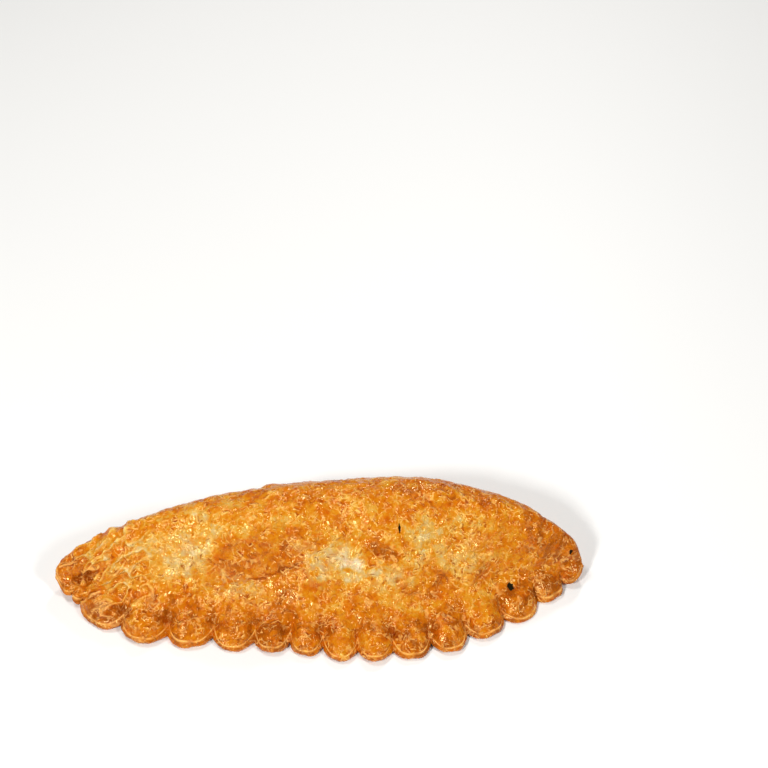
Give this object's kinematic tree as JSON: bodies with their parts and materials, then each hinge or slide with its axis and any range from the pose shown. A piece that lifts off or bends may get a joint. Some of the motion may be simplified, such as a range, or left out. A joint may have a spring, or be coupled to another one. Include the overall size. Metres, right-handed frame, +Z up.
{
  "type": "cheburek",
  "caption": "Half-moon fried turnover of thin wheat dough: a filled, domed belly, a rounded fold at the back and a crimped, scalloped seam in front; it lies on its flat underside.",
  "frame": {"origin": "middle of the object's box in plan, on the surface that it lies on", "axes": "+X along the fold from the left tip to the right tip, +Y from the scalloped seam to the fold, +Z up"},
  "size_m": [0.1634, 0.0562, 0.0302],
  "materials": {
    "fried_dough": "deep-fried wheat dough: golden brown, blistered, thinly oiled"
  },
  "bodies": {
    "root": {"cheburek": "fried_dough"}
  },
  "joints": []
}
